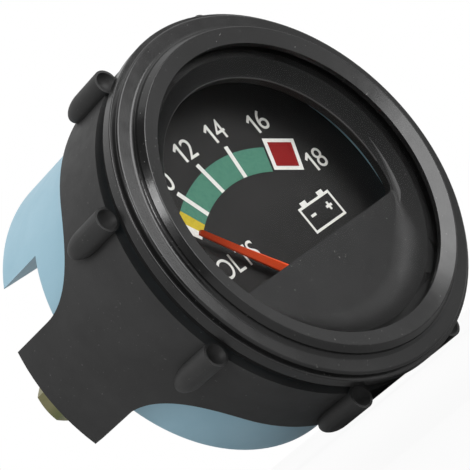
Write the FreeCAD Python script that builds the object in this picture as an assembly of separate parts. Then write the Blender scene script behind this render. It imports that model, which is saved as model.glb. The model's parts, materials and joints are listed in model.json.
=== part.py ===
import FreeCAD, Part
import math
import os

# Round panel voltmeter with a crossed-coil movement, held in a dashboard hole by a clamp bracket.
# Millimetres. X is to the right and Z is up as the dial is read, and the dial faces -Y.
# The origin is on the gauge's axis, at the middle of the panel gasket's thickness.
# A depth is a distance along +Y from there.

Vector = FreeCAD.Vector

# Radii, from the panel hole outwards and inwards
panel_hole_radius = 26.0
flange_overhang = 2.25
housing_gap = 0.1
housing_wall = 1.6
lens_step = 0.9
lens_overlap = 1.2
lip_wall = 1.05
seat_gap = 0.1

# Bezel, along the axis
rim_thickness = 1.7
rim_step = 0.65
rim_edge_round = 0.15
face_step = 0.8
face_fall = 0.08
face_edge_round = 0.32
lip_foot_round = 0.6
lip_wall_height = 0.82
lip_chamfer_width = 0.65
lip_chamfer_height = 0.9
lip_edge_round = 0.2
lip_bevel_drop = 0.65
lip_thickness = 0.75
mouth_depth = 1.3

# Lens, seal and mask
lens_thickness = 1.2
seal_width = 1.0
seal_thickness = 0.7
mask_rim_setback = 0.9
mask_cone_width = 2.2
mask_cone_depth = 2.0
mask_thickness = 1.2
cover_edge_height = -7.3
cover_corner_radius = 1.8
post_radius = 1.2
post_length = 4.7
post_angles = (90, 210, 330)

# Dial, its screws and the needle's stops
dial_thickness = 0.5
dial_gap = 0.1
dial_hole_radius = 1.6
ledge_width = 1.5
ledge_thickness = 1.2
pivot_drop = 12.1
screw_head_radius = 1.6
screw_head_height = 0.8
screw_radius = 0.9
screw_length = 4.0
stop_circle_radius = 4.6
stop_pin_radius = 0.4
stop_gap = 0.1

# Needle and spindle
pointer_length = 19.8
pointer_base_width = 2.1
pointer_tip_width = 0.7
pointer_thickness = 0.9
pointer_edge = 0.25
pointer_lift = 1.2
pointer_tail = 6.0
pointer_tail_width = 2.2
pointer_rest_angle = 38.5
pointer_swing = 78.5
hub_radius = 2.4
cap_radius = 3.2
cap_gap = 0.8
cap_floor = 0.6
spindle_radius = 0.5
running_gap = 0.03
press_gap = 0.01

# Movement
bobbin_radius = 7.0
bobbin_wall = 2.0
rotor_radius = 4.5
rotor_thickness = 4.0
rotor_gap = 0.5
bush_radius = 1.5
coil_thickness = 1.1
coil_width = 2.6
coil_split = 0.9
coil_gap = 0.5
layer_gap = 0.1
pillar_radius = 1.8
pillar_gap = 0.5
ear_thickness = 1.5
ear_depth = 3.0
return_magnet_radius = 1.0
return_magnet_length = 2.6

# Housing
rear_room = 1.1
rear_wall = 1.8
rear_round = 0.5
lamp_box_floor = 15.6
lamp_box_depth = 9.3

# Panel gasket
gasket_setback = 0.65
gasket_thickness = 1.2

# Clamp bracket
bracket_gap = 0.4
bracket_wall = 1.67
boss_radius = 1.8
boss_outset = 0.75
boss_count = 8
boss_gap = 0.8
boss_stand = 0.5
boss_setback = 0.7
boss_nose = 4.0
boss_wall = 0.35
boss_hollow_depth = 1.0
ring_depth = 9.7
leg_width = 16.2
leg_overrun = 7.45
leg_fillet = 10.5
tab_thickness = 1.8
tab_width = 12.0
clamp_turn = 2.2

# Studs, nuts and washers
stud_radius = 2.0
stud_head_radius = 3.0
stud_head_height = 2.0
stud_head_gap = 0.3
stud_hole_gap = 0.3
stud_point = 0.5
nut_across_flats = 7.0
nut_height = 5.2
nut_crown_slope = 1.7
nut_thread_gap = 0.05
locknut_height = 2.2
washer_radius = 4.5
washer_thickness = 0.8

# Terminals
terminal_offset = 7.0
terminal_drop = 6.0
blade_width = 6.3
blade_thickness = 0.8
shank_thickness = 1.0
blade_length = 7.7
blade_point = 1.0
blade_gap = 0.05
blade_inner_length = 1.0
block_margin = 1.9
block_thickness = 2.0
block_height = 6.0

# Circuit board
board_width = 22.0
board_height = 11.0
board_bottom = 1.0
board_thickness = 1.2
board_pillar_length = 3.3
board_pillar_radius = 1.5
board_pillar_inset = 2.2
board_screw_radius = 0.7
board_screw_head_radius = 1.4
board_screw_head_height = 0.9
board_screw_length = 3.0
lead_width = 0.6
lead_reach = 1.2
resistor_radius = 1.3
resistor_length = 8.0
resistor_height = 4.6
diode_radius = 1.0
diode_length = 5.0
diode_height = 9.0

# Dial lamp
lamp_neck_radius = 2.7
lamp_neck_length = 5.5
lamp_lug_reach = 0.65
lamp_lug_width = 1.6
lamp_lug_thickness = 1.0
lamp_lug_gap = 0.15
lamp_turn = 60
lamp_flange_radius = 4.4
lamp_flange_thickness = 1.4
lamp_grip_length = 7.0
lamp_grip_width = 2.2
lamp_grip_height = 3.0
bulb_radius = 2.3
bulb_length = 5.0
contact_width = 2.4
contact_height = 1.4
contact_thickness = 0.4
contact_offset = 2.6

# Radii that follow
flange_radius = panel_hole_radius + flange_overhang
housing_radius = panel_hole_radius - housing_gap
housing_bore = housing_radius - housing_wall
lens_radius = housing_bore - lens_step
lip_radius = lens_radius + lip_wall
aperture_radius = lens_radius - lens_overlap
mask_rim_radius = aperture_radius - mask_rim_setback
opening_radius = mask_rim_radius - mask_cone_width
seal_inner_radius = lens_radius - seal_width
post_circle_radius = (opening_radius + lens_radius) / 2
bracket_bore = housing_radius + bracket_gap
bracket_radius = bracket_bore + bracket_wall
boss_circle_radius = bracket_radius + boss_outset
stud_offset = housing_bore - stud_head_gap - stud_head_radius
lamp_height = (lamp_box_floor + housing_radius) / 2
pillar_offset = bobbin_radius + layer_gap + coil_thickness + pillar_gap + pillar_radius
return_magnet_offset = coil_split + coil_width + layer_gap + return_magnet_radius

# Depths that follow, from the front to the back
gasket_back = gasket_thickness / 2
rim_back = -gasket_thickness / 2
rim_front = rim_back - rim_thickness
face_edge_front = rim_front - face_step
lip_foot_front = face_edge_front - face_fall
lip_corner_front = lip_foot_front - lip_wall_height
lip_front = lip_corner_front - lip_chamfer_height
aperture_front = lip_front + lip_bevel_drop
lens_front = aperture_front + lip_thickness
mouth_front = rim_back - mouth_depth
lens_back = lens_front + lens_thickness
seal_back = lens_back + seal_thickness
mask_floor = lens_back + mask_cone_depth
mask_back = mask_floor + mask_thickness
dial_front = mask_back + post_length
dial_back = dial_front + dial_thickness
pointer_back = dial_front - pointer_lift
pointer_front = pointer_back - pointer_thickness
cap_front = mask_back + cap_gap
outer_coil_front = dial_back + coil_gap
inner_coil_front = outer_coil_front + coil_thickness + layer_gap
bobbin_face = inner_coil_front + coil_thickness + layer_gap
rotor_front = bobbin_face + bobbin_wall + rotor_gap
rotor_back = rotor_front + rotor_thickness
bobbin_split = (rotor_front + rotor_back) / 2
bobbin_back = rotor_back + rotor_gap + bobbin_wall
inner_coil_back = bobbin_back + layer_gap + coil_thickness
outer_coil_back = inner_coil_back + layer_gap + coil_thickness
rear_wall_front = outer_coil_back + rear_room
housing_back = rear_wall_front + rear_wall
lamp_box_back = housing_back + lamp_box_depth
lamp_wall_front = lamp_box_back - rear_wall
boss_front = gasket_back + boss_gap
ring_front = boss_front + boss_stand
ring_back = ring_front + ring_depth
leg_back = housing_back + leg_overrun
tab_front = leg_back - tab_thickness
washer_back = leg_back + washer_thickness
nut_back = washer_back + nut_height
stud_back = nut_back + stud_point
block_back = housing_back + block_thickness
board_back = rear_wall_front - board_pillar_length
board_front = board_back - board_thickness


# Basic forms

def lathe(outline):
    """Turn a closed outline of (radius, depth) points about the gauge's axis."""
    corners = [Vector(radius, depth, 0) for radius, depth in outline]
    face = Part.Face(Part.makePolygon(corners + corners[:1]))
    return face.revolve(Vector(0, 0, 0), Vector(0, 1, 0), 360)


def disc(radius, front, back, x=0.0, z=0.0):
    """A cylinder along the gauge's axis direction, from one depth to another."""
    return Part.makeCylinder(radius, back - front, Vector(x, front, z), Vector(0, 1, 0))


def tube(radius, bore, front, back, x=0.0, z=0.0):
    return disc(radius, front, back, x, z).cut(disc(bore, front, back, x, z))


def box(x_range, y_range, z_range):
    low = Vector(x_range[0], y_range[0], z_range[0])
    sizes = [high_end - low_end for low_end, high_end in (x_range, y_range, z_range)]
    return Part.makeBox(sizes[0], sizes[1], sizes[2], low)


def about(middle, width):
    """The range of the given width about a middle."""
    return (middle - width / 2, middle + width / 2)


def hexagon(across_flats, front, back, x):
    """A hexagonal prism on the stud's axis, with a flat to each side."""
    corner_radius = across_flats / math.sqrt(3)
    corners = []
    for corner in range(6):
        angle = math.radians(60 * corner)
        corners.append(Vector(x + corner_radius * math.sin(angle), front, corner_radius * math.cos(angle)))
    face = Part.Face(Part.makePolygon(corners + corners[:1]))
    return face.extrude(Vector(0, back - front, 0))


def turned(shape, angle, x=0.0, z=0.0):
    """A copy turned clockwise, as seen from the front, about a line along the gauge's axis."""
    copy = shape.copy()
    copy.rotate(Vector(x, 0, z), Vector(0, 1, 0), angle)
    return copy


def set_at_clamp(shape):
    """A shape built level with the dial, turned with the clamp's legs and studs about the gauge's axis."""
    return turned(shape, -clamp_turn)


def joined(shapes):
    return shapes[0].multiFuse(shapes[1:]).removeSplitter()


def circle_edges(shape, radius, depth):
    """The shape's edges that are circles of this radius about the gauge's axis at this depth."""
    found = []
    for edge in shape.Edges:
        if not isinstance(edge.Curve, Part.Circle):
            continue
        centre = edge.Curve.Center
        same_axis = math.hypot(centre.x, centre.z) < 0.001
        same_size = abs(edge.Curve.Radius - radius) < 0.001
        if same_axis and same_size and abs(centre.y - depth) < 0.001:
            found.append(edge)
    return found


# Front: bezel, lens, seal and mask

def bezel():
    """A ring with a stepped rim, a front face that falls outwards, and a chamfered lip over the lens."""
    lens_bore = lens_radius + seat_gap
    mouth_bore = housing_radius + press_gap
    face_radius = flange_radius - rim_step
    lip_foot_radius = lip_radius + lip_chamfer_width
    ring = lathe([
        (mouth_bore, rim_back),
        (flange_radius, rim_back),
        (flange_radius, rim_front),
        (face_radius, rim_front),
        (face_radius, face_edge_front),
        (lip_foot_radius, lip_foot_front),
        (lip_foot_radius, lip_corner_front),
        (lip_radius, lip_front),
        (aperture_radius, aperture_front),
        (aperture_radius, lens_front),
        (lens_bore, lens_front),
        (lens_bore, mouth_front),
        (mouth_bore, mouth_front),
    ])
    ring = ring.makeFillet(rim_edge_round, circle_edges(ring, flange_radius, rim_back))
    ring = ring.makeFillet(rim_edge_round, circle_edges(ring, flange_radius, rim_front))
    ring = ring.makeFillet(face_edge_round, circle_edges(ring, face_radius, face_edge_front))
    ring = ring.makeFillet(lip_foot_round, circle_edges(ring, lip_foot_radius, lip_foot_front))
    return ring.makeFillet(lip_edge_round, circle_edges(ring, lip_radius, lip_front))


def lens():
    return disc(lens_radius, lens_front, lens_back)


def lens_seal():
    return tube(lens_radius, seal_inner_radius + press_gap, lens_back, seal_back)


def mask_opening():
    """The window over the dial: a circle cut straight by the cover's edge, with round corners."""
    blank = disc(opening_radius, mask_floor, mask_back)
    above = box(
        (-opening_radius, opening_radius),
        (mask_floor, mask_back),
        (cover_edge_height, opening_radius),
    )
    window = blank.common(above)
    corners = []
    for edge in window.Edges:
        ends = [vertex.Point for vertex in edge.Vertexes]
        along_axis = len(ends) == 2 and abs(ends[0].y - ends[1].y) > mask_thickness / 2
        if along_axis and abs(ends[0].z - cover_edge_height) < 0.001:
            corners.append(edge)
    return window.makeFillet(cover_corner_radius, corners)


def mask():
    dish = lathe([
        (0, mask_floor),
        (opening_radius, mask_floor),
        (mask_rim_radius, lens_back),
        (seal_inner_radius, lens_back),
        (seal_inner_radius, seal_back),
        (lens_radius, seal_back),
        (lens_radius, mask_back),
        (0, mask_back),
    ])
    pieces = [dish.cut(mask_opening())]
    for angle in post_angles:
        x = post_circle_radius * math.cos(math.radians(angle))
        z = post_circle_radius * math.sin(math.radians(angle))
        pieces.append(disc(post_radius, mask_floor + mask_thickness / 2, dial_front, x, z))
    return joined(pieces)


# Dial, its screws and the needle's stops

def dial_plate():
    plate = disc(housing_bore - dial_gap, dial_front, dial_back)
    plate = plate.cut(disc(dial_hole_radius, dial_front, dial_back, 0, -pivot_drop))
    for side in (-1, 1):
        hole = disc(screw_radius + press_gap, dial_front, dial_back, side * pillar_offset, -pivot_drop)
        plate = plate.cut(hole)
    return plate


def dial_screws():
    screws = []
    for side in (-1, 1):
        x = side * pillar_offset
        head = disc(screw_head_radius, dial_front - screw_head_height, dial_front, x, -pivot_drop)
        shank = disc(screw_radius, dial_front, dial_front + screw_length, x, -pivot_drop)
        screws.append(joined([head, shank]))
    return Part.makeCompound(screws)


def stop_pins():
    """One pin outside each end of the needle's swing, beside the needle's widest part."""
    beside = pointer_base_width / 2 + stop_gap + stop_pin_radius
    margin = math.degrees(math.asin(beside / stop_circle_radius))
    pins = []
    for angle in (-pointer_rest_angle - margin, pointer_swing - pointer_rest_angle + margin):
        x = stop_circle_radius * math.sin(math.radians(angle))
        z = stop_circle_radius * math.cos(math.radians(angle)) - pivot_drop
        pins.append(disc(stop_pin_radius, pointer_front, dial_front, x, z))
    return Part.makeCompound(pins)


# Needle, spindle and rotor

def needle_section(width, height):
    """A ridged cross-section of the needle at a height above the pivot."""
    half = width / 2
    shoulder = pointer_back - pointer_edge
    corners = [
        Vector(-half, pointer_back, height - pivot_drop),
        Vector(half, pointer_back, height - pivot_drop),
        Vector(half, shoulder, height - pivot_drop),
        Vector(0, pointer_front, height - pivot_drop),
        Vector(-half, shoulder, height - pivot_drop),
    ]
    return Part.makePolygon(corners + corners[:1])


def pointer():
    blade = Part.makeLoft([
        needle_section(pointer_base_width, 0),
        needle_section(pointer_tip_width, pointer_length),
    ], True, True)
    tail = Part.makeLoft([
        needle_section(pointer_base_width, 0),
        needle_section(pointer_tail_width, -pointer_tail),
    ], True, True)
    hub = disc(hub_radius, pointer_front, pointer_back, 0, -pivot_drop)
    whole = joined([hub, blade, tail])
    bore = disc(spindle_radius + press_gap, pointer_front, pointer_back, 0, -pivot_drop)
    return turned(whole.cut(bore), -pointer_rest_angle, 0, -pivot_drop)


def pointer_cap():
    cap = disc(cap_radius, cap_front, pointer_front, 0, -pivot_drop)
    socket = disc(spindle_radius + press_gap, cap_front + cap_floor, pointer_front, 0, -pivot_drop)
    return cap.cut(socket)


def spindle():
    return disc(spindle_radius, cap_front + cap_floor, bobbin_back, 0, -pivot_drop)


def rotor_magnet():
    return tube(rotor_radius, spindle_radius + press_gap, rotor_front, rotor_back, 0, -pivot_drop)


# Crossed-coil movement

def bush(front, back):
    return tube(bush_radius, spindle_radius + running_gap, front, back, 0, -pivot_drop)


def front_bush():
    return bush(bobbin_face, bobbin_face + bobbin_wall)


def rear_bush():
    return bush(bobbin_back - bobbin_wall, bobbin_back)


def bobbin_half(front, back):
    half = disc(bobbin_radius, front, back, 0, -pivot_drop)
    cavity = disc(rotor_radius + rotor_gap, rotor_front - rotor_gap, rotor_back + rotor_gap, 0, -pivot_drop)
    bush_seat = disc(bush_radius + press_gap, front, back, 0, -pivot_drop)
    return half.cut(cavity).cut(bush_seat)


def bobbin_front():
    """The front half, with an ear and a pillar on each side that carry the movement on the dial."""
    pieces = [bobbin_half(bobbin_face, bobbin_split)]
    ear_root = (bobbin_radius + rotor_radius + rotor_gap) / 2
    ear_back = bobbin_face + ear_depth
    hole_radius = screw_radius + press_gap
    hole_back = dial_front + screw_length
    for side in (-1, 1):
        x_range = sorted((side * ear_root, side * pillar_offset))
        pieces.append(box(x_range, (bobbin_face, ear_back), about(-pivot_drop, ear_thickness)))
        pieces.append(disc(pillar_radius, dial_back, ear_back, side * pillar_offset, -pivot_drop))
    whole = joined(pieces)
    for side in (-1, 1):
        whole = whole.cut(disc(hole_radius, dial_back, hole_back, side * pillar_offset, -pivot_drop))
    cavity = disc(rotor_radius + rotor_gap, rotor_front - rotor_gap, bobbin_split, 0, -pivot_drop)
    return whole.cut(cavity)


def bobbin_rear():
    return bobbin_half(bobbin_split, bobbin_back)


def winding(front, back, crosswise):
    """Both halves of one coil: flat loops round the bobbin, split to pass the spindle."""
    inner = bobbin_radius + layer_gap
    outer = inner + coil_thickness
    halves = []
    for side in (-1, 1):
        span = sorted((side * coil_split, side * (coil_split + coil_width)))
        hole_depths = (front + coil_thickness, back - coil_thickness)
        loop = box(span, (front, back), (-outer, outer))
        loop = loop.cut(box(span, hole_depths, (-inner, inner)))
        if crosswise:
            loop = turned(loop, 90)
        loop.translate(Vector(0, 0, -pivot_drop))
        halves.append(loop)
    return Part.makeCompound(halves)


def coil_inner():
    return winding(inner_coil_front, inner_coil_back, False)


def coil_outer():
    return winding(outer_coil_front, outer_coil_back, True)


def return_magnet():
    magnet_back = bobbin_back + return_magnet_length
    z = return_magnet_offset - pivot_drop
    return disc(return_magnet_radius, bobbin_back, magnet_back, return_magnet_offset, z)


# Circuit board

def board_pillar_points():
    x = board_width / 2 - board_pillar_inset
    z = board_bottom + board_pillar_inset
    return [(-x, z), (x, z)]


def circuit_board():
    board = box(
        about(0, board_width),
        (board_front, board_back),
        (board_bottom, board_bottom + board_height),
    )
    for x, z in board_pillar_points():
        board = board.cut(disc(board_screw_radius + press_gap, board_front, board_back, x, z))
    return board


def board_screws():
    screws = []
    for x, z in board_pillar_points():
        head = disc(board_screw_head_radius, board_front - board_screw_head_height, board_front, x, z)
        shank = disc(board_screw_radius, board_front, board_front + board_screw_length, x, z)
        screws.append(joined([head, shank]))
    return Part.makeCompound(screws)


def leaded_body(radius, length, height):
    """A round component lying on the board, with a flat lead bent down to the board at each end."""
    z = board_bottom + height
    axis_depth = board_front - radius
    reach = length / 2 + lead_reach
    body = Part.makeCylinder(radius, length, Vector(-length / 2, axis_depth, z), Vector(1, 0, 0))
    lead = box((-reach, reach), about(axis_depth, lead_width), about(z, lead_width))
    pieces = [body, lead]
    for side in (-1, 1):
        x_range = sorted((side * (reach - lead_width), side * reach))
        pieces.append(box(x_range, (axis_depth, board_front), about(z, lead_width)))
    return joined(pieces)


def resistor():
    return leaded_body(resistor_radius, resistor_length, resistor_height)


def diode():
    return leaded_body(diode_radius, diode_length, diode_height)


# Housing

def rounded_barrel(front, back):
    barrel = disc(housing_radius, front, back)
    return barrel.makeFillet(rear_round, circle_edges(barrel, housing_radius, back))


def blade_slot(side, front, back):
    """The slot that a terminal's shank passes through."""
    return box(
        about(side * terminal_offset, blade_width + 2 * blade_gap),
        (front, back),
        about(-terminal_drop, shank_thickness + 2 * blade_gap),
    )


def lamp_key_hole():
    """The lamp holder's hole, with the notches that let its lugs in at the end of the turn."""
    hole_radius = lamp_neck_radius + running_gap
    lug_length = 2 * (lamp_neck_radius + lamp_lug_reach + lamp_lug_gap)
    hole = disc(hole_radius, lamp_wall_front, lamp_box_back, 0, lamp_height)
    notch = box(
        about(0, lug_length),
        (lamp_wall_front, lamp_box_back),
        about(lamp_height, lamp_lug_width + 2 * lamp_lug_gap),
    )
    return joined([hole, turned(notch, lamp_turn, 0, lamp_height)])


def housing():
    """The cup, its ledge for the dial, the deeper lamp box at the top and the board's pillars."""
    upper_half = box(
        (-housing_radius, housing_radius),
        (0, lamp_box_back),
        (lamp_box_floor, housing_radius),
    )
    upper_space = box(
        (-housing_radius, housing_radius),
        (0, lamp_box_back),
        (lamp_box_floor + housing_wall, housing_radius),
    )
    cup = rounded_barrel(mouth_front, housing_back)
    cup = joined([cup, rounded_barrel(rear_wall_front, lamp_box_back).common(upper_half)])
    cup = cup.cut(disc(housing_bore, mouth_front, rear_wall_front))
    cup = cup.cut(disc(housing_bore, dial_back, lamp_wall_front).common(upper_space))
    ledge_back = dial_back + ledge_thickness
    ledge = tube(housing_bore + housing_wall / 2, housing_bore - ledge_width, dial_back, ledge_back)
    pieces = [cup, ledge]
    for x, z in board_pillar_points():
        pieces.append(disc(board_pillar_radius, board_back, rear_wall_front + rear_wall / 2, x, z))
    cup = joined(pieces)
    for x, z in board_pillar_points():
        cup = cup.cut(
            disc(board_screw_radius + press_gap, board_back, board_front + board_screw_length, x, z))
    for side in (-1, 1):
        hole = disc(stud_radius + press_gap, rear_wall_front, housing_back, side * stud_offset)
        cup = cup.cut(set_at_clamp(hole))
        cup = cup.cut(blade_slot(side, rear_wall_front, housing_back))
    return cup.cut(lamp_key_hole())


# Mounting: gasket, clamp bracket, studs and nuts

def panel_gasket():
    return tube(flange_radius - gasket_setback, housing_radius + press_gap, rim_back, gasket_back)


def bracket_side_view():
    """The bracket's side outline, a ring and a leg with round corners, drawn out across its width."""
    half_leg = leg_width / 2
    fillet_start = half_leg + leg_fillet
    fillet_end = ring_back + leg_fillet
    reach = boss_circle_radius + boss_radius
    arc_in = leg_fillet * (1 - math.sqrt(0.5))

    def point(z, depth):
        return Vector(-reach, depth, z)

    def corner_arc(side):
        return Part.Arc(
            point(side * fillet_start, ring_back),
            point(side * (half_leg + arc_in), ring_back + arc_in),
            point(side * half_leg, fillet_end),
        ).toShape()

    edges = [
        Part.makeLine(point(-reach, ring_front), point(reach, ring_front)),
        Part.makeLine(point(reach, ring_front), point(reach, ring_back)),
        Part.makeLine(point(reach, ring_back), point(fillet_start, ring_back)),
        corner_arc(1),
        Part.makeLine(point(half_leg, fillet_end), point(half_leg, leg_back)),
        Part.makeLine(point(half_leg, leg_back), point(-half_leg, leg_back)),
        Part.makeLine(point(-half_leg, leg_back), point(-half_leg, fillet_end)),
        corner_arc(-1),
        Part.makeLine(point(-fillet_start, ring_back), point(-reach, ring_back)),
        Part.makeLine(point(-reach, ring_back), point(-reach, ring_front)),
    ]
    outline = Part.Wire(Part.__sortEdges__(edges))
    return Part.Face(outline).extrude(Vector(2 * reach, 0, 0))


def clamp_boss(angle):
    """A rib, round in section, that tapers to a rounded nose at the rear."""
    nose_back = ring_back - boss_setback
    nose_start = nose_back - boss_nose
    front_middle = Vector(boss_circle_radius, boss_front, 0)
    nose_middle = Vector(boss_circle_radius, nose_start, 0)
    nose_point = Vector(boss_circle_radius, nose_back, 0)
    front_rim = Vector(boss_circle_radius + boss_radius, boss_front, 0)
    nose_rim = Vector(boss_circle_radius + boss_radius, nose_start, 0)
    nose_curve = Part.Ellipse(nose_point, nose_rim, nose_middle)
    outline = Part.Wire(Part.__sortEdges__([
        Part.makeLine(front_middle, front_rim),
        Part.makeLine(front_rim, nose_rim),
        Part.ArcOfEllipse(nose_curve, 0, math.pi / 2).toShape(),
        Part.makeLine(nose_point, front_middle),
    ]))
    rib = Part.Face(outline).revolve(front_middle, Vector(0, 1, 0), 360)
    return turned(rib, -angle)


def boss_hollow(angle):
    """The ball that leaves a shallow round hollow in a rib's front end."""
    rim_radius = boss_radius - boss_wall
    ball_radius = (rim_radius ** 2 + boss_hollow_depth ** 2) / (2 * boss_hollow_depth)
    middle = Vector(boss_circle_radius, boss_front + boss_hollow_depth - ball_radius, 0)
    return turned(Part.makeSphere(ball_radius, middle), -angle)


def clamp_tab(side):
    """The tongue at a leg's end that the stud passes through."""
    x_range = sorted((side * stud_offset, side * (bracket_bore + bracket_wall / 2)))
    return joined([
        disc(tab_width / 2, tab_front, leg_back, side * stud_offset),
        box(x_range, (tab_front, leg_back), about(0, tab_width)),
    ])


def clamp_bracket():
    boss_angles = [360 / boss_count * (index + 0.5) for index in range(boss_count)]
    shell = disc(bracket_radius, ring_front, leg_back).common(set_at_clamp(bracket_side_view()))
    shell = joined([shell] + [clamp_boss(angle) for angle in boss_angles])
    shell = shell.cut(disc(bracket_bore, boss_front, leg_back))
    shell = joined([shell] + [set_at_clamp(clamp_tab(side)) for side in (-1, 1)])
    for angle in boss_angles:
        shell = shell.cut(boss_hollow(angle))
    for side in (-1, 1):
        hole = disc(stud_radius + stud_hole_gap, tab_front, leg_back, side * stud_offset)
        shell = shell.cut(set_at_clamp(hole))
    return shell


def clamp_washers():
    bore = stud_radius + stud_hole_gap
    return set_at_clamp(Part.makeCompound([
        tube(washer_radius, bore, leg_back, washer_back, side * stud_offset) for side in (-1, 1)
    ]))


def mounting_studs():
    studs = []
    for side in (-1, 1):
        x = side * stud_offset
        head = disc(stud_head_radius, rear_wall_front - stud_head_height, rear_wall_front, x)
        shank = disc(stud_radius, rear_wall_front, stud_back - stud_point, x)
        point = Part.makeCone(
            stud_radius,
            stud_radius - stud_point,
            stud_point,
            Vector(x, stud_back - stud_point, 0),
            Vector(0, 1, 0),
        )
        studs.append(joined([head, shank, point]))
    return set_at_clamp(Part.makeCompound(studs))


def hex_nut(front, back, side, bore):
    """A hexagon nut whose corners are turned round at both ends."""
    x = side * stud_offset
    height = back - front
    flat_radius = nut_across_flats / 2
    nut = hexagon(nut_across_flats, front, back, x)
    for end, inward in ((front, 1), (back, -1)):
        crown = Part.makeCone(
            flat_radius,
            flat_radius + nut_crown_slope * height,
            height,
            Vector(x, end, 0),
            Vector(0, inward, 0),
        )
        nut = nut.common(crown)
    return set_at_clamp(nut.cut(disc(bore, front, back, x)))


def stud_locknuts():
    bore = stud_radius + press_gap
    return Part.makeCompound([
        hex_nut(housing_back, housing_back + locknut_height, side, bore) for side in (-1, 1)
    ])


def clamp_nut_left():
    return hex_nut(washer_back, nut_back, -1, stud_radius + nut_thread_gap)


def clamp_nut_right():
    return hex_nut(washer_back, nut_back, 1, stud_radius + nut_thread_gap)


# Terminals

def terminal_block():
    half_length = terminal_offset + blade_width / 2 + block_margin
    block = box(
        (-half_length, half_length),
        (housing_back, block_back),
        about(-terminal_drop, block_height),
    )
    for side in (-1, 1):
        block = block.cut(blade_slot(side, housing_back, block_back))
    return block


def terminal(side):
    """A push-on blade: a shank through the wall and block, then a thinner tongue with cut corners."""
    x = side * terminal_offset
    shank = box(
        about(x, blade_width),
        (rear_wall_front - blade_inner_length, block_back),
        about(-terminal_drop, shank_thickness),
    )
    half = blade_width / 2
    tongue_back = block_back + blade_length
    underside = -terminal_drop - blade_thickness / 2
    corners = [
        Vector(x - half, block_back, underside),
        Vector(x - half, tongue_back - blade_point, underside),
        Vector(x - half + blade_point, tongue_back, underside),
        Vector(x + half - blade_point, tongue_back, underside),
        Vector(x + half, tongue_back - blade_point, underside),
        Vector(x + half, block_back, underside),
    ]
    outline = Part.Face(Part.makePolygon(corners + corners[:1]))
    return joined([shank, outline.extrude(Vector(0, 0, blade_thickness))])


def terminal_positive():
    return terminal(1)


def terminal_negative():
    return terminal(-1)


# Dial lamp

def lamp_holder():
    neck_front = lamp_box_back - lamp_neck_length
    flange_back = lamp_box_back + lamp_flange_thickness
    lug_back = lamp_wall_front - lamp_lug_gap
    neck = disc(lamp_neck_radius, neck_front, lamp_box_back, 0, lamp_height)
    flange = disc(lamp_flange_radius, lamp_box_back, flange_back, 0, lamp_height)
    grip = box(
        about(0, lamp_grip_length),
        (flange_back, flange_back + lamp_grip_height),
        about(lamp_height, lamp_grip_width),
    )
    lugs = box(
        about(0, 2 * (lamp_neck_radius + lamp_lug_reach)),
        (lug_back - lamp_lug_thickness, lug_back),
        about(lamp_height, lamp_lug_width),
    )
    return joined([neck, flange, grip, lugs])


def lamp_bulb():
    neck_front = lamp_box_back - lamp_neck_length
    dome_depth = neck_front - bulb_length
    return joined([
        disc(bulb_radius, dome_depth, neck_front, 0, lamp_height),
        Part.makeSphere(bulb_radius, Vector(0, dome_depth, lamp_height)),
    ])


def lamp_contacts():
    flange_back = lamp_box_back + lamp_flange_thickness
    strips = []
    for side in (-1, 1):
        strips.append(box(
            about(0, contact_width),
            (flange_back, flange_back + contact_thickness),
            about(lamp_height + side * contact_offset, contact_height),
        ))
    return Part.makeCompound(strips)


pieces = [
    bezel,
    lens,
    lens_seal,
    mask,
    dial_plate,
    dial_screws,
    stop_pins,
    pointer,
    pointer_cap,
    spindle,
    rotor_magnet,
    front_bush,
    rear_bush,
    bobbin_front,
    bobbin_rear,
    coil_inner,
    coil_outer,
    return_magnet,
    circuit_board,
    board_screws,
    resistor,
    diode,
    housing,
    panel_gasket,
    clamp_bracket,
    clamp_washers,
    mounting_studs,
    stud_locknuts,
    clamp_nut_left,
    clamp_nut_right,
    terminal_block,
    terminal_positive,
    terminal_negative,
    lamp_holder,
    lamp_bulb,
    lamp_contacts,
]

os.makedirs("parts", exist_ok=True)
for piece in pieces:
    shape = piece()
    shape.exportStep(os.path.join("parts", piece.__name__ + ".step"))
    state = "valid" if shape.isValid() else "INVALID"
    print(piece.__name__, len(shape.Solids), state, round(shape.Volume, 2))
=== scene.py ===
import json
import math
import bmesh
import bpy
from mathutils import Matrix, Vector


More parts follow.
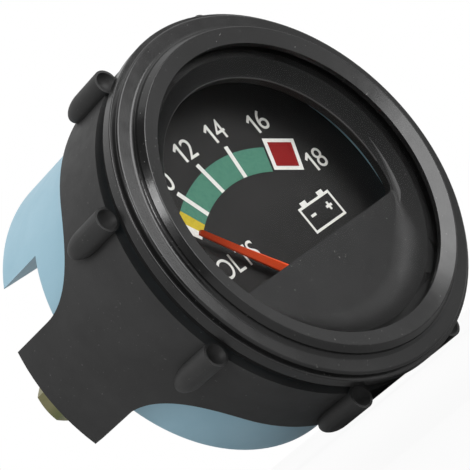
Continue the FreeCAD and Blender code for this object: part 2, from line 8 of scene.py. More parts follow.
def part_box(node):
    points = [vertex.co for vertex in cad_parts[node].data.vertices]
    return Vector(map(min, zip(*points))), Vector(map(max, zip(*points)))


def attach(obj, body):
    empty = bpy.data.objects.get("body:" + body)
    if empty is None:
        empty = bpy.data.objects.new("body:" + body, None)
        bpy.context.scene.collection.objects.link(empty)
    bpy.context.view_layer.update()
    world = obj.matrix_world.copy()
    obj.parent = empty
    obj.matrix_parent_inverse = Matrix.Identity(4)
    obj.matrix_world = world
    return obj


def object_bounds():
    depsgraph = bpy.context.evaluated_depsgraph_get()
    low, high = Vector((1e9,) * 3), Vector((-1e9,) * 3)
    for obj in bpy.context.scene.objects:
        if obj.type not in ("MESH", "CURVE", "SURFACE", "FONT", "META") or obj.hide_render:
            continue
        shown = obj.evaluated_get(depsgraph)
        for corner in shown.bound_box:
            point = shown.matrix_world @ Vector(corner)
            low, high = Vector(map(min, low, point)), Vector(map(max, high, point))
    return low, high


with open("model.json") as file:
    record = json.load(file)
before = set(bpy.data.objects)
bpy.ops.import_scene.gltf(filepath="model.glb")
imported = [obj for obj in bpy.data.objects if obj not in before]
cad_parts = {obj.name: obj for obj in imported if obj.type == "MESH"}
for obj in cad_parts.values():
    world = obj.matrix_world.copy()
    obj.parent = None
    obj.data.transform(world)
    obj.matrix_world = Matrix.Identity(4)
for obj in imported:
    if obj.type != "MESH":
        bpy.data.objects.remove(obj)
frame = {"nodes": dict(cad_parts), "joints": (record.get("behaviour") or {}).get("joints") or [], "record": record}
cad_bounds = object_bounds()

# Round panel voltmeter: materials, dial print, small details, light and camera.
# The scene is in metres. X is right and Z is up as the dial is read, and the dial faces -Y.

mm = 0.001
nodes = frame["nodes"]
joints = {joint["name"]: joint for joint in frame["joints"]}

# Surface patterns, in features per metre
drift_scale = 120
gloss_scale = 420
dust_scale = 2200
plating_scale = 700
metal_gloss_scale = 900
tool_mark_scale = 6000
zinc_scale = 210
zinc_mark_scale = 5000
haze_scale = 90
ink_scale = 2600
ink_gloss_scale = 1200

# Surface patterns: octaves of noise, the stretches of its range that they use, and the dust's colour
full_detail = 4.0
grain_detail = 2.0
zinc_detail = 1.0
octave_weight = 0.55
noise_low = 0.3
noise_high = 0.7
drift_low = 0.35
drift_high = 0.65
dust_low = 0.7
dust_high = 0.76
dust_colour = (0.5, 0.5, 0.48, 1.0)
ink_high = 0.6

# Surface relief: share of the full slope, and depth in millimetres
grain_strength = 0.35
tool_mark_strength = 0.25
tool_mark_depth = 0.02

# Clear parts: the least shine, and where it starts to grow from facing (0) to edge-on (1)
least_shine = 0.003
shine_start = 0.35

# Coloured ring of the dial, in millimetres about the needle's pivot
pivot_height = joints["pointer_swing"]["pos_m"][2] / mm
band_inner = 18.6
band_outer = 22.5
tick_outer = 23.7
tick_width = 0.7

# Coloured ring of the dial, in volts, and in degrees from the dial's up, positive to the left
middle_volts = 13
top_volts = 16
tick_volts = (10, 12, 14)
volts_step_angle = 8.0
green_end = 30.0
yellow_end = 34.5
low_end = 38.0

# Ink layers on the dial's face, in millimetres
dial_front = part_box("dial_plate")[0].y / mm
layer_lift = 0.03
ink_thickness = 0.02
weld_distance = 0.001
base_layer = 1
upper_layer = 2
top_layer = 3

# Red block at the end of the ring: its white border's corners, in millimetres right of and above the
# gauge's axis, and how wide the red is as a share of the border
red_border = [(10.0, 9.6), (15.0, 7.2), (12.7, 2.7), (8.0, 5.0)]
red_share = 0.76

# Numbers and unit: middles and sizes, in millimetres right of and above the gauge's axis.
# The numbers from 10 to 18 are listed by their second figure.
figure_height = 3.1
figure_width = 1.85
figure_smoothness = 6
figure_offset = 0.95
one_offset = 0.72
eight_place = (-16.4, 5.4)
eight_width = 1.7
unit_place = (-9.85, -2.45)
unit_width = 10.7
two_figure_places = {
    "0": (-10.7, 11.8),
    "2": (-3.5, 13.9),
    "4": (3.5, 13.9),
    "6": (11.4, 11.9),
    "8": (15.9, 3.0),
}

# Figure 1: half of its upright, and the flag's start, tip and root, in millimetres
upright_half = 0.23
flag_start = 0.12
flag_tip = 1.0
flag_tip_drop = 0.75
flag_heel = 0.78
flag_heel_drop = 1.1
flag_root_drop = 0.66

# Battery sign, in millimetres about its middle
battery_place = (10.2, -3.55)
battery_half = 3.65
battery_bottom = -2.1
battery_top = 2.15
battery_line = 0.38
post_offset = 2.0
post_half = 0.65
post_top = 2.75
plus_place = (1.85, 0.2)
plus_reach = 0.65
minus_place = (-1.8, 0.3)
minus_reach = 0.55
sign_line = 0.4

# Mask, as in the CAD part: its cone, its opening and the edge of its cover, in millimetres
cone_width = 2.2
cone_depth = 2.0
opening_radius = 19.1
opening_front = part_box("mask")[0].y / mm + cone_depth
cover_edge = -7.3
bead_foot = 0.05

# Mask's painted shade on the cone: millimetres from the axis where the painted shade starts and is full, and its
# share there
painted_shade_start = 18.6
painted_shade_full = 20.2
painted_shade_share = 0.8

# Mask's edge bead, lighter as a painted highlight: its arc in degrees above the right side, and its section as
# (outward, lift) millimetres
edge_start = -8.0
edge_span = 196.0
edge_steps = 120
edge_section = [(0.09, 0.03), (-0.02, 0.05), (-0.03, -0.1)]

# Hollow between cover and cone, in millimetres; its taper is a share of its length
blend_steps = 120
blend_parts = 16
blend_reach = 2.4
blend_end_reach = 0.3
blend_taper = 0.2
blend_lift = 0.01
blend_cone_share = 0.74

# Crease above each corner of the cover, in degrees above the side and in millimetres
corner_angle = math.degrees(math.asin(cover_edge / opening_radius))
tail_sunk = 9.0
tail_bottom = corner_angle - tail_sunk
tail_top = 2.0
tail_steps = 48
tail_inset = 0.12
tail_drift = 0.75
tail_width = 0.62
tail_end_width = 0.02
tail_height = 0.2
tail_foot_inset = 0.01

# Crease's section, as shares of its width and of its height
tail_section = [(0.0, 0.0), (0.15, 0.7), (0.3, 1.0), (0.5, 0.75), (0.75, 0.3), (1.0, 0.0)]

# Floor: sizes in metres, and the share of plain white in what the camera sees of it
floor_reach = 6.0
floor_gap = 0.0005
floor_glow = 0.93

# Room: its strength low down and overhead, and the upward part of a direction where it starts to grow
room_low_strength = 0.38
room_high_strength = 1.0
room_grows_from = -0.1

# Lights and dark cards: directions from the gauge, sizes in metres, powers in watts
light_distance = 0.6
key_direction = (0.3, -0.88, 0.36)
key_size = 0.42
key_power = 2.6
rim_direction = (-0.68, -0.38, 0.62)
rim_size = 0.2
rim_power = 1.05
card_size = 0.2
camera_card_distance = 0.25
overhead_card_direction = (-0.3, -0.27, 0.9)
overhead_card_distance = 0.3

# Camera, fitted to the photo: its place in metres, its axes, and its sensor in millimetres
camera_place = (-0.24349, -0.22699, -0.02642)
camera_right = (0.57959, -0.51852, -0.62866)
camera_up = (0.39642, -0.49461, 0.77344)
camera_back = (-0.71198, -0.69749, -0.08112)
sensor_width = 36.0
focal_pixels = 2500.0
image_pixels = 470.0
nearest_seen = 10 * mm


# Materials

def new_material(name):
    """A node material; returns it with its node tree and its surface shader."""
    material = bpy.data.materials.new(name)
    material.use_nodes = True
    tree = material.node_tree
    return material, tree, tree.nodes["Principled BSDF"]


def set_values(node, **values):
    """Sets a shader node's inputs by name, with underscores for spaces."""
    for name, value in values.items():
        node.inputs[name.replace("_", " ")].default_value = value


def grey(level):
    """A neutral colour of one level."""
    return (level, level, level)


def noise(tree, scale, detail=full_detail):
    """Noise in the piece's own coordinates; the scale is in features per metre."""
    place = tree.nodes.new("ShaderNodeTexCoord")
    texture = tree.nodes.new("ShaderNodeTexNoise")
    set_values(texture, Scale=scale, Detail=detail, Roughness=octave_weight)
    tree.links.new(place.outputs["Object"], texture.inputs["Vector"])
    return texture.outputs["Fac"]


def spread(tree, factor, low, high, start=noise_low, end=noise_high):
    """A factor between start and end, spread over the range from low to high."""
    node = tree.nodes.new("ShaderNodeMapRange")
    set_values(node, From_Min=start, From_Max=end, To_Min=low, To_Max=high)
    tree.links.new(factor, node.inputs["Value"])
    return node.outputs["Result"]


def ramp(tree, factor, stops):
    """A colour ramp of (place, colour) stops."""
    node = tree.nodes.new("ShaderNodeValToRGB")
    elements = node.color_ramp.elements
    while len(elements) < len(stops):
        elements.new(0.5)
    for element, (place, colour) in zip(elements, stops):
        element.position = place
        element.color = (*colour, 1.0)
    tree.links.new(factor, node.inputs["Fac"])
    return node.outputs["Color"]


def drift(tree, scale, dark, light, start=noise_low, end=noise_high):
    """A colour that drifts between two tones."""
    return ramp(tree, noise(tree, scale), [(start, dark), (end, light)])


def uneven_gloss(tree, shader, scale, roughness):
    """A roughness that varies between the two given values."""
    low, high = roughness
    tree.links.new(spread(tree, noise(tree, scale), low, high), shader.inputs["Roughness"])


def relief(tree, shader, scale, strength, depth):
    """Fine bumps; the depth is in millimetres."""
    node = tree.nodes.new("ShaderNodeBump")
    set_values(node, Strength=strength, Distance=depth * mm)
    tree.links.new(noise(tree, scale, grain_detail), node.inputs["Height"])
    tree.links.new(node.outputs["Normal"], shader.inputs["Normal"])


def moulded(name, dark, light, roughness, grain, grain_depth, specular=0.5, dust=0.0):
    """Moulded plastic: slow colour drift, pale dust specks, uneven gloss and a fine grain.

    The grain is in features per metre, and its depth in millimetres.
    """
    material, tree, shader = new_material(name)
    specks = tree.nodes.new("ShaderNodeMixRGB")
    specks.inputs["Color2"].default_value = dust_colour
    dust_pattern = noise(tree, dust_scale, grain_detail)
    tree.links.new(spread(tree, dust_pattern, 0.0, dust, dust_low, dust_high), specks.inputs["Fac"])
    tree.links.new(drift(tree, drift_scale, dark, light, drift_low, drift_high), specks.inputs["Color1"])
    tree.links.new(specks.outputs["Color"], shader.inputs["Base Color"])
    uneven_gloss(tree, shader, gloss_scale, roughness)
    relief(tree, shader, grain, grain_strength, grain_depth)
    set_values(shader, Specular_IOR_Level=specular)
    return material


def gloss_black():
    return moulded(
        "gloss_black", grey(0.008), grey(0.012),
        roughness=(0.16, 0.24), grain=5200, grain_depth=0.01, dust=0.2,
    )


def satin_black():
    return moulded(
        "satin_black", grey(0.032), grey(0.04),
        roughness=(0.5, 0.6), grain=3800, grain_depth=0.03, specular=0.3, dust=0.15,
    )


def axis_distance(tree):
    """The distance from the gauge's axis, in metres."""
    place = tree.nodes.new("ShaderNodeTexCoord")
    flat = tree.nodes.new("ShaderNodeVectorMath")
    flat.operation = "MULTIPLY"
    flat.inputs[1].default_value = (1.0, 0.0, 1.0)
    radius = tree.nodes.new("ShaderNodeVectorMath")
    radius.operation = "LENGTH"
    tree.links.new(place.outputs["Object"], flat.inputs[0])
    tree.links.new(flat.outputs["Vector"], radius.inputs[0])
    return radius.outputs["Value"]


def mask_black():
    """Grained black on the cover, and painted shade that darkens the cone around it."""
    material = moulded(
        "mask_black", grey(0.0098), grey(0.0145),
        roughness=(0.45, 0.55), grain=3000, grain_depth=0.03, specular=0.3, dust=0.25,
    )
    tree = material.node_tree
    shader = tree.nodes["Principled BSDF"]
    grained = shader.inputs["Base Color"].links[0].from_socket
    # The cone's darker black is painted shade, mixed in by distance from the gauge's axis.
    mix = tree.nodes.new("ShaderNodeMixRGB")
    mix.inputs["Color2"].default_value = (*grey(0.002), 1.0)
    start = painted_shade_start * mm
    full = painted_shade_full * mm
    painted_cone_shade = spread(tree, axis_distance(tree), 0.0, painted_shade_share, start, full)
    tree.links.new(painted_cone_shade, mix.inputs["Fac"])
    tree.links.new(grained, mix.inputs["Color1"])
    tree.links.new(mix.outputs["Color"], shader.inputs["Base Color"])
    return material


# A lighter black that paints a highlight on the mask's edge and on the creases at the cover's corners.
def edge_black():
    return moulded(
        "edge_black", grey(0.05), grey(0.07),
        roughness=(0.4, 0.5), grain=3000, grain_depth=0.02, specular=0.3,
    )


def dial_black():
    return moulded(
        "dial_black", (0.016, 0.0155, 0.015), (0.021, 0.0205, 0.02),
        roughness=(0.55, 0.65), grain=6000, grain_depth=0.01, specular=0.2,
    )


def black_rubber():
    return moulded(
        "black_rubber", grey(0.005), grey(0.009),
        roughness=(0.7, 0.85), grain=4200, grain_depth=0.05, specular=0.15,
    )


def housing_blue():
    return moulded(
        "housing_blue", (0.345, 0.57, 0.69), (0.375, 0.6, 0.72),
        roughness=(0.34, 0.46), grain=2600, grain_depth=0.03, specular=0.35,
    )


def white_nylon():
    return moulded(
        "white_nylon", (0.72, 0.7, 0.63), (0.78, 0.76, 0.7),
        roughness=(0.4, 0.55), grain=2600, grain_depth=0.03,
    )


def board_green():
    return moulded(
        "board_green", (0.015, 0.12, 0.05), (0.03, 0.18, 0.08),
        roughness=(0.28, 0.4), grain=1800, grain_depth=0.03,
    )


def resistor_tan():
    return moulded(
        "resistor_tan", (0.5, 0.38, 0.22), (0.58, 0.45, 0.28),
        roughness=(0.4, 0.55), grain=2600, grain_depth=0.03,
    )


def diode_black():
    return moulded(
        "diode_black", grey(0.015), grey(0.025),
        roughness=(0.25, 0.4), grain=2600, grain_depth=0.02,
    )


def needle_orange():
    return moulded(
        "needle_orange", (0.86, 0.075, 0.015), (0.95, 0.1, 0.025),
        roughness=(0.4, 0.55), grain=5200, grain_depth=0.02, specular=0.4,
    )


def metal(name, dark, light, roughness):
    """Plated or plain metal with a drifting tone and fine tool marks."""
    material, tree, shader = new_material(name)
    tree.links.new(drift(tree, plating_scale, dark, light), shader.inputs["Base Color"])
    uneven_gloss(tree, shader, metal_gloss_scale, roughness)
    relief(tree, shader, tool_mark_scale, tool_mark_strength, tool_mark_depth)
    set_values(shader, Metallic=1.0)
    return material


def steel():
    return metal("steel", (0.42, 0.42, 0.43), (0.55, 0.55, 0.56), roughness=(0.28, 0.42))


def brass():
    return metal("brass", (0.58, 0.4, 0.14), (0.7, 0.5, 0.2), roughness=(0.25, 0.38))


def tinned_brass():
    return metal("tinned_brass", (0.62, 0.58, 0.5), (0.72, 0.69, 0.62), roughness=(0.25, 0.4))


def magnet_grey():
    return metal("magnet_grey", (0.12, 0.12, 0.125), (0.2, 0.2, 0.205), roughness=(0.4, 0.6))


def copper_wire():
    return metal("copper_wire", (0.45, 0.16, 0.06), (0.6, 0.25, 0.1), roughness=(0.25, 0.4))


def yellow_zinc():
    """Yellow chromate on zinc: straw that drifts softly to olive and to a pinkish grey."""
    material, tree, shader = new_material("yellow_zinc")
    patches = ramp(tree, noise(tree, zinc_scale, zinc_detail), [
        (0.3, (0.2, 0.22, 0.1)),
        (0.46, (0.3, 0.29, 0.15)),
        (0.58, (0.38, 0.33, 0.22)),
        (0.72, (0.4, 0.33, 0.29)),
    ])
    tree.links.new(patches, shader.inputs["Base Color"])
    uneven_gloss(tree, shader, metal_gloss_scale, roughness=(0.3, 0.45))
    relief(tree, shader, zinc_mark_scale, tool_mark_strength, tool_mark_depth)
    set_values(shader, Metallic=0.9)
    return material


def mix_shaders(tree, share, first, second):
    """Shows the first shader's light, turning to the second's as the share goes from 0 to 1."""
    mix = tree.nodes.new("ShaderNodeMixShader")
    tree.links.new(share, mix.inputs["Fac"])
    tree.links.new(first, mix.inputs[1])
    tree.links.new(second, mix.inputs[2])
    tree.links.new(mix.outputs["Shader"], tree.nodes["Material Output"].inputs["Surface"])


def clear(name, shine):
    """Clear glass or acrylic: see-through, with a faint uneven shine that grows towards the edge-on view."""
    material, tree, shader = new_material(name)
    tree.nodes.remove(shader)
    through = tree.nodes.new("ShaderNodeBsdfTransparent")
    gloss = tree.nodes.new("ShaderNodeBsdfGlossy")
    uneven_gloss(tree, gloss, haze_scale, roughness=(0.02, 0.06))
    facing = tree.nodes.new("ShaderNodeLayerWeight").outputs["Facing"]
    share = spread(tree, facing, least_shine, shine, start=shine_start, end=1.0)
    mix_shaders(tree, share, through.outputs["BSDF"], gloss.outputs["BSDF"])
    return material


def clear_lens():
    return clear("clear_lens", shine=0.4)


def bulb_glass():
    return clear("bulb_glass", shine=0.9)


def ink(name, dark, light):
    """Screen-printed ink: nearly even colour with thin spots."""
    material, tree, shader = new_material(name)
    tree.links.new(drift(tree, ink_scale, dark, light, noise_low, ink_high), shader.inputs["Base Color"])
    uneven_gloss(tree, shader, ink_gloss_scale, roughness=(0.5, 0.62))
    set_values(shader, Specular_IOR_Level=0.1)
    return material


def ink_white():
    return ink("ink_white", (0.76, 0.76, 0.72), (0.84, 0.84, 0.8))


def ink_green():
    return ink("ink_green", (0.07, 0.21, 0.15), (0.085, 0.24, 0.17))


def ink_yellow():
    return ink("ink_yellow", (0.55, 0.42, 0.03), (0.62, 0.48, 0.045))


def ink_red():
    return ink("ink_red", (0.22, 0.009, 0.009), (0.27, 0.013, 0.013))


def dress_cad_nodes():
    """Gives each CAD node the material of its slot in the record."""
    makers = [
        gloss_black, clear_lens, black_rubber, mask_black, dial_black, steel, needle_orange, satin_black,
        magnet_grey, brass, white_nylon, copper_wire, board_green, resistor_tan, diode_black, housing_blue,
        yellow_zinc, tinned_brass, bulb_glass,
    ]
    packed = list(bpy.data.materials)
    materials = {maker.__name__: maker() for maker in makers}
    for entry in frame["record"]["subparts"]:
        node = nodes[entry["node"]]
        node.data.materials.clear()
        node.data.materials.append(materials[entry["material_slot"]])
    for material in packed:
        bpy.data.materials.remove(material)


# Pieces and dial print

def add_object(name, data):
    """An object of the scene, from its mesh, light, camera or text."""
    added = bpy.data.objects.new(name, data)
    bpy.context.collection.objects.link(added)
    return added


def on_dial(x, z, layer=base_layer):
    """A point of an ink layer, from millimetres right of and above the gauge's axis."""
    return Vector((x, dial_front - layer * layer_lift, z)) * mm


def from_pivot(radius, angle):
    """Millimetres right of and above the axis for a radius and an angle about the needle's pivot."""
    turn = math.radians(angle)
    return -radius * math.sin(turn), radius * math.cos(turn) + pivot_height


def thicken(shape, depth):
    """Gives flat patches a thickness behind their faces."""
    bmesh.ops.remove_doubles(shape, verts=shape.verts, dist=weld_distance * mm)
    grown = bmesh.ops.extrude_face_region(shape, geom=shape.faces, use_keep_orig=True)
    backs = [element for element in grown["geom"] if isinstance(element, bmesh.types.BMVert)]
    bmesh.ops.translate(shape, verts=backs, vec=(0.0, depth, 0.0))
    bmesh.ops.recalc_face_normals(shape, faces=shape.faces)


def add_piece(name, shape, material):
    """A piece of the gauge's fixed body, made from an edited mesh."""
    mesh = bpy.data.meshes.new(name)
    shape.to_mesh(mesh)
    shape.free()
    mesh.materials.append(material)
    piece = add_object(name, mesh)
    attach(piece, "gauge_body")


def printed_mesh(name, shape, material):
    """A piece of ink, from flat patches."""
    thicken(shape, ink_thickness * mm)
    add_piece(name, shape, material)


def printed(name, outlines, material, layer=base_layer):
    """Flat ink patches on the dial, one for each outline of (x, z) points in millimetres."""
    shape = bmesh.new()
    for outline in outlines:
        corners = [shape.verts.new(on_dial(x, z, layer)) for x, z in outline]
        face = shape.faces.new(corners)
        face.normal_update()
        if face.normal.y > 0:
            face.normal_flip()
    printed_mesh(name, shape, material)


def band(start, end):
    """Quads along the coloured ring, about one for each degree."""
    count = max(1, round(abs(end - start)))
    quads = []
    for step in range(count):
        first = start + (end - start) * step / count
        second = start + (end - start) * (step + 1) / count
        quads.append([
            from_pivot(band_inner, first),
            from_pivot(band_outer, first),
            from_pivot(band_outer, second),
            from_pivot(band_inner, second),
        ])
    return quads


def tick(angle):
    """A straight tick of even width along a line from the pivot."""
    x_low, z_low = from_pivot(band_inner, angle)
    x_high, z_high = from_pivot(tick_outer, angle)
    turn = math.radians(angle)
    across_x = math.cos(turn) * tick_width / 2
    across_z = math.sin(turn) * tick_width / 2
    return [
        (x_low - across_x, z_low - across_z),
        (x_low + across_x, z_low + across_z),
        (x_high + across_x, z_high + across_z),
        (x_high - across_x, z_high - across_z),
    ]


def rectangle(left, bottom, right, top):
    return [(left, bottom), (right, bottom), (right, top), (left, top)]


def frame_of(left, bottom, right, top, line):
    """The four sides of a rectangle drawn with a line of even width."""
    return [
        rectangle(left, bottom, right, bottom + line),
        rectangle(left, top - line, right, top),
        rectangle(left, bottom + line, left + line, top - line),
        rectangle(right - line, bottom + line, right, top - line),
    ]


def plus_sign(x, z, reach, line):
    """A plus about a centre, as one outline."""
    half = line / 2
    return [
        (x - half, z - reach),
        (x + half, z - reach),
        (x + half, z - half),
        (x + reach, z - half),
        (x + reach, z + half),
        (x + half, z + half),
        (x + half, z + reach),
        (x - half, z + reach),
        (x - half, z + half),
        (x - reach, z + half),
        (x - reach, z - half),
        (x - half, z - half),
    ]


def volts_angle(volts):
    """Where a voltage lies on the ring, in degrees from the dial's up."""
    return (middle_volts - volts) * volts_step_angle


def print_scale(white):
    """The coloured ring, its ticks, and the red block with its white border."""
    green = ink_green()
    yellow = ink_yellow()
    red = ink_red()
    printed("print_green_band", band(volts_angle(top_volts), green_end), green)
    printed("print_yellow_band", band(green_end, yellow_end), yellow)
    printed("print_low_band", band(yellow_end, low_end), white)
    printed("print_ticks", [tick(volts_angle(volts)) for volts in tick_volts], white, upper_layer)
    middle_x = sum(x for x, z in red_border) / len(red_border)
    middle_z = sum(z for x, z in red_border) / len(red_border)
    red_block = [
        (middle_x + red_share * (x - middle_x), middle_z + red_share * (z - middle_z))
        for x, z in red_border
    ]
    printed("print_red_border", [red_border], white, upper_layer)
    printed("print_red_block", [red_block], red, top_layer)


def lettering(name, text, centre, width, material):
    """Plain lettering on the dial, fitted to a width and the figures' height about a centre."""
    curve = bpy.data.curves.new(name, "FONT")
    curve.body = text
    curve.resolution_u = figure_smoothness
    source = add_object(name + "_source", curve)
    mesh = bpy.data.meshes.new_from_object(source.evaluated_get(bpy.context.evaluated_depsgraph_get()))
    bpy.data.objects.remove(source)
    low = [min(vertex.co[axis] for vertex in mesh.vertices) for axis in (0, 1)]
    high = [max(vertex.co[axis] for vertex in mesh.vertices) for axis in (0, 1)]
    for vertex in mesh.vertices:
        x = centre[0] + ((vertex.co.x - low[0]) / (high[0] - low[0]) - 0.5) * width
        z = centre[1] + ((vertex.co.y - low[1]) / (high[1] - low[1]) - 0.5) * figure_height
        vertex.co = on_dial(x, z)
    shape = bmesh.new()
    shape.from_mesh(mesh)
    bpy.data.meshes.remove(mesh)
    printed_mesh(name, shape, material)


def numeral_one(x, z):
    """A plain figure 1 with a flag, its upright about x."""
    top = z + figure_height / 2
    bottom = z - figure_height / 2
    return [
        (x - upright_half, bottom),
        (x + upright_half, bottom),
        (x + upright_half, top),
        (x - upright_half + flag_start, top),
        (x - flag_tip, top - flag_tip_drop),
        (x - flag_heel, top - flag_heel_drop),
        (x - upright_half, top - flag_root_drop),
    ]


def print_numbers(white):
    """The numbers along the ring, and the unit's word."""
    for digit, (x, z) in two_figure_places.items():
        lettering("print_1" + digit, digit, (x + figure_offset, z), figure_width, white)
    ones = [numeral_one(x - one_offset, z) for x, z in two_figure_places.values()]
    printed("print_ones", ones, white)
    lettering("print_8", "8", eight_place, eight_width, white)
    lettering("print_unit", "VOLTS", unit_place, unit_width, white)


def print_battery(white):
    """The usual battery sign: a box with two posts, a plus and a minus."""
    x, z = battery_place
    top = z + battery_top
    outlines = frame_of(x - battery_half, z + battery_bottom, x + battery_half, top, battery_line)
    for post_x in (x - post_offset, x + post_offset):
        outlines.append(rectangle(post_x - post_half, top, post_x + post_half, z + post_top))
    outlines.append(plus_sign(x + plus_place[0], z + plus_place[1], plus_reach, sign_line))
    minus_x = x + minus_place[0]
    minus_bottom = z + minus_place[1] - sign_line / 2
    minus_top = minus_bottom + sign_line
    outlines.append(rectangle(minus_x - minus_reach, minus_bottom, minus_x + minus_reach, minus_top))
    printed("print_battery", outlines, white)


# Mask details

def on_cone(angle, radius, lift):
    """A point on the mask's cone: degrees above the right side, then a radius and a lift in millimetres."""
    turn = math.radians(angle)
    depth = opening_front - (radius - opening_radius) * cone_depth / cone_width
    return Vector((radius * math.cos(turn), depth - lift, radius * math.sin(turn))) * mm


def strip_piece(name, rows, material):
    """A bead whose closed sections are the rows; only the faces at a row's last point stay flat."""
    shape = bmesh.new()
    sections = [[shape.verts.new(point) for point in row] for row in rows]
    for section, following in zip(sections, sections[1:]):
        for side in range(len(section)):
            face = shape.faces.new((section[side - 1], section[side], following[side], following[side - 1]))
            face.smooth = 0 < side < len(section) - 1
    shape.faces.new(sections[0])
    shape.faces.new(sections[-1])
    for edge in shape.edges:
        edge.smooth = all(face.smooth for face in edge.link_faces)
    bmesh.ops.recalc_face_normals(shape, faces=shape.faces)
    add_piece(name, shape, material)


def mask_edge(material):
    """The fine edge where the cone ends over the dial; its lighter colour is a painted highlight."""
    rows = []
    for step in range(edge_steps + 1):
        angle = edge_start + step * edge_span / edge_steps
        rows.append([on_cone(angle, opening_radius + outward, lift) for outward, lift in edge_section])
    strip_piece("mask_edge", rows, material)


def eased(share):
    """A share from 0 to 1 that starts and ends gently."""
    return share * share * (3 - 2 * share)


def bend_points(first, bend, last):
    """Points along a curve from the first to the last, drawn towards the bend."""
    points = []
    for part in range(blend_parts + 1):
        share = part / blend_parts
        points.append(first * (1 - share) ** 2 + bend * 2 * share * (1 - share) + last * share ** 2)
    return points


def cover_blend(material):
    """The soft hollow where the cover runs into the cone, narrow at the cover's corners."""
    rows = []
    for step in range(blend_steps + 1):
        angle = 180 - corner_angle + step * (180 + 2 * corner_angle) / blend_steps
        from_end = min(step, blend_steps - step) / blend_steps
        reach = blend_end_reach + (blend_reach - blend_end_reach) * eased(min(1, from_end / blend_taper))
        bend = on_cone(angle, opening_radius, blend_lift)
        inner = bend * ((opening_radius - reach) / opening_radius)
        inner.y = bend.y
        outer = on_cone(angle, opening_radius + blend_cone_share * reach, blend_lift)
        foot = on_cone(angle, opening_radius, -bead_foot)
        rows.append([*bend_points(inner, bend, outer), foot])
    strip_piece("cover_blend", rows, material)


def cover_tail(name, side, material):
    """The crease that rises out of the hollow at a corner of the cover and fades up the cone; its lighter colour
    is a painted highlight.
    """
    rows = []
    for step in range(tail_steps + 1):
        angle = tail_bottom + (tail_top - tail_bottom) * step / tail_steps
        above = max(0, (angle - corner_angle) / (tail_top - corner_angle))
        below = max(0, (corner_angle - angle) / tail_sunk)
        size = (1 - above) * (1 - eased(below))
        inner_edge = opening_radius + tail_inset + tail_drift * above
        width = tail_width * size + tail_end_width
        row = []
        for across, height in tail_section:
            row.append(on_cone(angle, inner_edge + across * width, tail_height * height * size + blend_lift))
        row.append(on_cone(angle, inner_edge + tail_foot_inset, -bead_foot))
        rows.append([Vector((side * point.x, point.y, point.z)) for point in row])
    strip_piece(name, rows, material)


# Stage, light and camera

def seen(tree):
    """1 for rays from the camera and 0 for rays of light and mirrors."""
    return tree.nodes.new("ShaderNodeLightPath").outputs["Is Camera Ray"]


def square_mesh(name, half, height):
    """A level square about the gauge's axes, at a height."""
    mesh = bpy.data.meshes.new(name)
    corners = rectangle(-half, -half, half, half)
    mesh.from_pydata([(x, y, height) for x, y in corners], [], [(0, 1, 2, 3)])
    return mesh


def put_facing(lamp_or_card, direction, distance):
    """Puts a lamp or a card in a direction from the gauge, turned to face it."""
    away = Vector(direction).normalized()
    lamp_or_card.location = away * distance
    lamp_or_card.rotation_euler = away.to_track_quat("Z", "Y").to_euler()


def build_stage():
    """A plain pale floor that keeps the object's soft shadow."""
    lowest_corner = cad_bounds[0]
    mesh = square_mesh("floor", floor_reach, lowest_corner[2] - floor_gap)
    floor = add_object("floor", mesh)
    material, tree, shader = new_material("floor_white")
    set_values(shader, Base_Color=(*grey(0.5), 1.0), Roughness=0.9, Specular_IOR_Level=0.1)
    glow = tree.nodes.new("ShaderNodeEmission")
    share = spread(tree, seen(tree), 0.0, floor_glow, start=0.0, end=1.0)
    mix_shaders(tree, share, shader.outputs["BSDF"], glow.outputs["Emission"])
    mesh.materials.append(material)


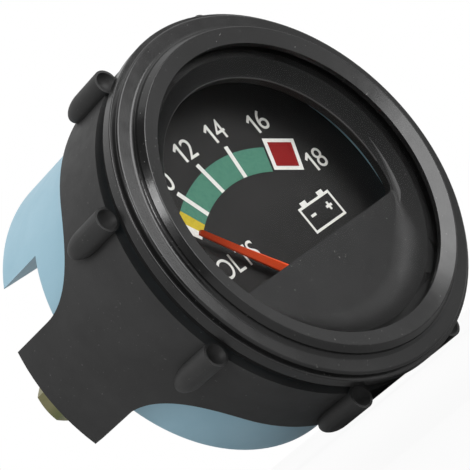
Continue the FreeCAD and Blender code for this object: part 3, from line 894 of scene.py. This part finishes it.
def build_world():
    """A pale room, lighter overhead; plain white where the camera sees it."""
    world = bpy.data.worlds.new("room")
    bpy.context.scene.world = world
    world.use_nodes = True
    tree = world.node_tree
    background = tree.nodes["Background"]
    set_values(background, Color=(*grey(1.0), 1.0))
    place = tree.nodes.new("ShaderNodeTexCoord")
    parts = tree.nodes.new("ShaderNodeSeparateXYZ")
    tree.links.new(place.outputs["Generated"], parts.inputs["Vector"])
    upward = parts.outputs["Z"]
    overhead = spread(tree, upward, room_low_strength, room_high_strength, start=room_grows_from, end=1.0)
    strength = tree.nodes.new("ShaderNodeMath")
    strength.operation = "MAXIMUM"
    tree.links.new(overhead, strength.inputs[0])
    tree.links.new(seen(tree), strength.inputs[1])
    tree.links.new(strength.outputs["Value"], background.inputs["Strength"])


def area_light(name, direction, size, power):
    """A square soft light in a direction from the gauge."""
    light = bpy.data.lights.new(name, "AREA")
    light.size = size
    light.energy = power
    lamp = add_object(name, light)
    put_facing(lamp, direction, light_distance)


def dark_card(name, direction, distance):
    """A dark studio card that only mirrors and light rays meet."""
    mesh = square_mesh(name, card_size / 2, 0.0)
    card = add_object(name, mesh)
    put_facing(card, direction, distance)
    card.visible_camera = False
    material, tree, shader = new_material(name)
    set_values(shader, Base_Color=(*grey(0.02), 1.0), Roughness=0.9)
    mesh.materials.append(material)


def build_lights():
    """The key light, the rim light and the cards that darken what the gloss mirrors."""
    area_light("key", key_direction, key_size, key_power)
    area_light("rim", rim_direction, rim_size, rim_power)
    dark_card("card_camera", camera_back, camera_card_distance)
    dark_card("card_overhead", overhead_card_direction, overhead_card_distance)


def build_camera():
    """The photo's camera, from its place, its axes and its focal length in pixels."""
    data = bpy.data.cameras.new("camera")
    data.sensor_width = sensor_width
    data.lens = focal_pixels / image_pixels * sensor_width
    data.clip_start = nearest_seen
    camera = add_object("camera", data)
    turn = Matrix((camera_right, camera_up, camera_back)).transposed()
    camera.matrix_world = Matrix.Translation(camera_place) @ turn.to_4x4()
    bpy.context.scene.camera = camera


dress_cad_nodes()
white_ink = ink_white()
print_scale(white_ink)
print_numbers(white_ink)
print_battery(white_ink)
# The lighter black for the mask's edge and the creases is a painted highlight.
highlight_paint = edge_black()
mask_edge(highlight_paint)
cover_blend(nodes["mask"].data.materials[0])
cover_tail("cover_tail_left", -1, highlight_paint)
cover_tail("cover_tail_right", 1, highlight_paint)
build_stage()
build_world()
build_lights()
build_camera()
bpy.context.scene.view_settings.view_transform = "Standard"
